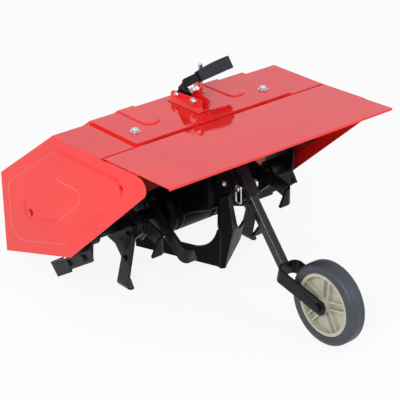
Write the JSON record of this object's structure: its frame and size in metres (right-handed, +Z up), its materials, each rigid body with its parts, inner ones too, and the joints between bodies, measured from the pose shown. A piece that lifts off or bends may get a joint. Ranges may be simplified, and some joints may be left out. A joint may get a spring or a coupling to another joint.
{
  "type": "rotary tiller attachment",
  "caption": "Towed rotary tiller head for a motor cultivator: sheet-metal hood with hinged flap, driven tine rotor, centre share, support wheel on an arm and a latch lever.",
  "frame": {"origin": "on the floor, under the middle of the bounding box", "axes": "+X across the machine, along the rotor's axis; -Y towards the support wheel; +Z up"},
  "size_m": [0.69, 0.904, 0.5183],
  "materials": {
    "red_paint": "gloss red paint on pressed sheet steel",
    "black_paint": "satin black paint on steel and castings",
    "zinc_steel": "zinc-plated fasteners and bright shafts",
    "grip_plastic": "moulded dark slate plastic",
    "rim_plastic": "moulded cream plastic",
    "tyre_rubber": "solid dark slate rubber"
  },
  "bodies": {
    "frame": {"deck_plate": "red_paint", "wing_left": "red_paint", "wing_right": "red_paint", "rear_lip": "red_paint", "side_panel_left": "red_paint", "side_panel_right": "red_paint", "hinge_strip": "red_paint", "latch_bracket": "red_paint", "cross_beam": "black_paint", "gearcase": "black_paint", "input_housing": "black_paint", "arm_socket": "black_paint", "socket_cheeks": "black_paint", "wheel_arm": "black_paint", "wheel_fork": "black_paint", "share_shank": "black_paint", "share": "black_paint", "latch_lever": "black_paint", "hinge_rod": "zinc_steel", "latch_pivot": "zinc_steel", "latch_stop_bolt": "zinc_steel", "input_shaft": "zinc_steel", "socket_pin": "zinc_steel", "pin_clip": "zinc_steel", "wheel_axle": "zinc_steel", "latch_grip": "grip_plastic"},
    "rotor": {"rotor_shaft": "black_paint", "tine_carrier_outer_left": "black_paint", "tine_carrier_outer_right": "black_paint", "tine_carrier_middle_left": "black_paint", "tine_carrier_middle_right": "black_paint", "tine_carrier_inner_left": "black_paint", "tine_carrier_inner_right": "black_paint"},
    "wheel": {"wheel_rim": "rim_plastic", "wheel_tyre": "tyre_rubber"},
    "flap": {"front_flap": "red_paint"}
  },
  "joints": [
    {"name": "rotor_spin", "type": "hinge", "parent": "frame", "child": "rotor", "pos_m": [0, 0.162, 0.172], "axis": [1, 0, 0], "continuous": true},
    {"name": "wheel_spin", "type": "hinge", "parent": "frame", "child": "wheel", "pos_m": [0, -0.352, 0.1], "axis": [1, 0, 0], "continuous": true},
    {"name": "flap_lift", "type": "hinge", "parent": "frame", "child": "flap", "pos_m": [0, 0.016, 0.422], "axis": [-1, 0, 0], "range_deg": [0, 95]}
  ]
}
